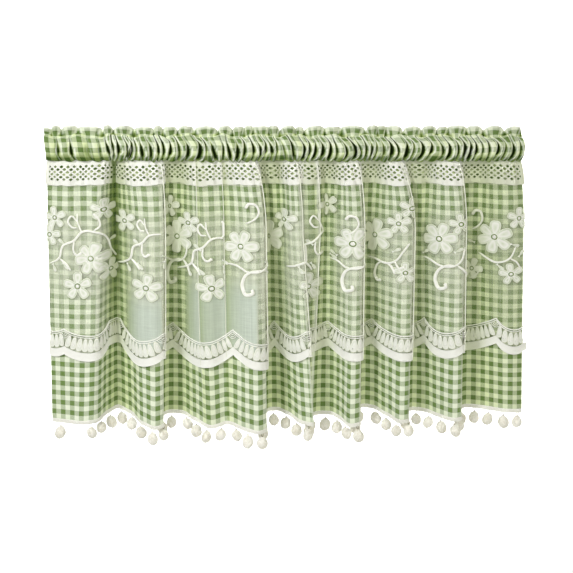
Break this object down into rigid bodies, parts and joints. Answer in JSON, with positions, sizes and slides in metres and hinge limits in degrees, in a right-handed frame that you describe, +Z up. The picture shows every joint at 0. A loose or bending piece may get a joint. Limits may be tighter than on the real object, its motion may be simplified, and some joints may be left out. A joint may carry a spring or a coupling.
{
  "type": "window valance",
  "caption": "Gathered rod-pocket window valance in green gingham, with a standing ruffle, a scalloped floral lace overlay and a pompom braid along the hem.",
  "frame": {"origin": "middle of the ruffle's top edge", "axes": "+X across the valance to the viewer's right, +Z up, the valance faces -Y"},
  "size_m": [0.7493, 0.0798, 0.5076],
  "materials": {
    "gingham": "matte woven cotton check",
    "lace": "soft openwork lace",
    "braid": "fluffy cotton trim"
  },
  "bodies": {
    "root": {"heading": "gingham", "gingham_panel": "gingham", "lace_overlay": "lace", "pompom_fringe": "braid"}
  },
  "joints": []
}
